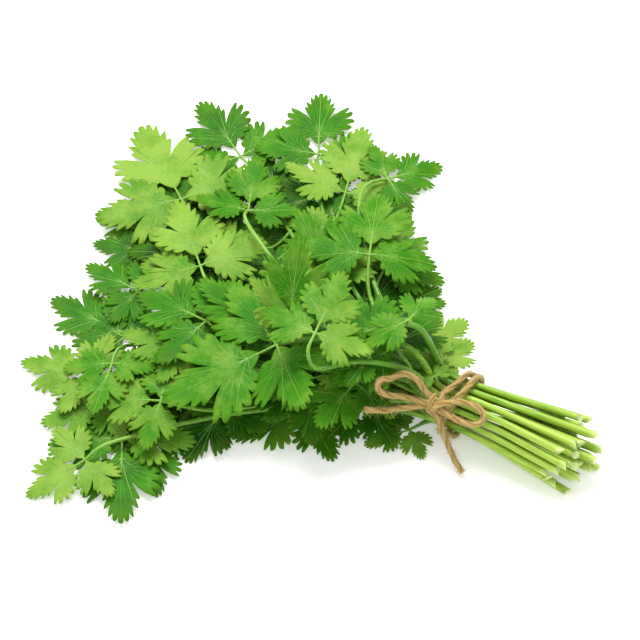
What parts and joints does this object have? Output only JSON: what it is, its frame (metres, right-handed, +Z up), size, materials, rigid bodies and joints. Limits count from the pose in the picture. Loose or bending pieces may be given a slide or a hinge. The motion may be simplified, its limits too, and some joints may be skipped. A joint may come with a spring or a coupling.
{
  "type": "coriander bunch",
  "caption": "Bunch of fresh coriander lying on its side, its long leafy stems tied near the cut ends with jute twine in a bow.",
  "frame": {"origin": "on the surface the bunch lies on, under the tie, on the flat underside of the twine's first turn", "axes": "+X along the stems towards their cut ends, -X towards the leaves, +Y to one side across the bunch, +Z up"},
  "size_m": [0.2632, 0.2528, 0.0546],
  "materials": {
    "leaf_deep": "satin leaf, deep green",
    "leaf_mid": "satin leaf, mid green",
    "leaf_bright": "satin leaf, yellow green",
    "twine": "twisted jute, rough"
  },
  "bodies": {
    "root": {"sprig_01": "leaf_bright", "sprig_02": "leaf_mid", "sprig_03": "leaf_deep", "sprig_04": "leaf_mid", "sprig_05": "leaf_mid", "sprig_06": "leaf_deep", "sprig_07": "leaf_deep", "sprig_08": "leaf_mid", "sprig_09": "leaf_mid", "sprig_10": "leaf_mid", "sprig_11": "leaf_bright", "sprig_12": "leaf_bright", "sprig_13": "leaf_deep", "sprig_14": "leaf_mid", "sprig_15": "leaf_mid", "sprig_16": "leaf_bright", "sprig_17": "leaf_bright", "sprig_18": "leaf_mid", "sprig_19": "leaf_deep", "sprig_20": "leaf_bright", "sprig_21": "leaf_bright", "sprig_22": "leaf_mid", "sprig_23": "leaf_deep", "sprig_24": "leaf_mid", "sprig_25": "leaf_bright", "sprig_26": "leaf_mid", "sprig_27": "leaf_mid", "sprig_28": "leaf_mid", "sprig_29": "leaf_mid", "sprig_30": "leaf_deep", "sprig_31": "leaf_deep", "sprig_32": "leaf_mid", "sprig_33": "leaf_bright", "sprig_34": "leaf_deep", "sprig_35": "leaf_mid", "sprig_36": "leaf_bright", "sprig_37": "leaf_mid", "twine": "twine"}
  },
  "joints": []
}
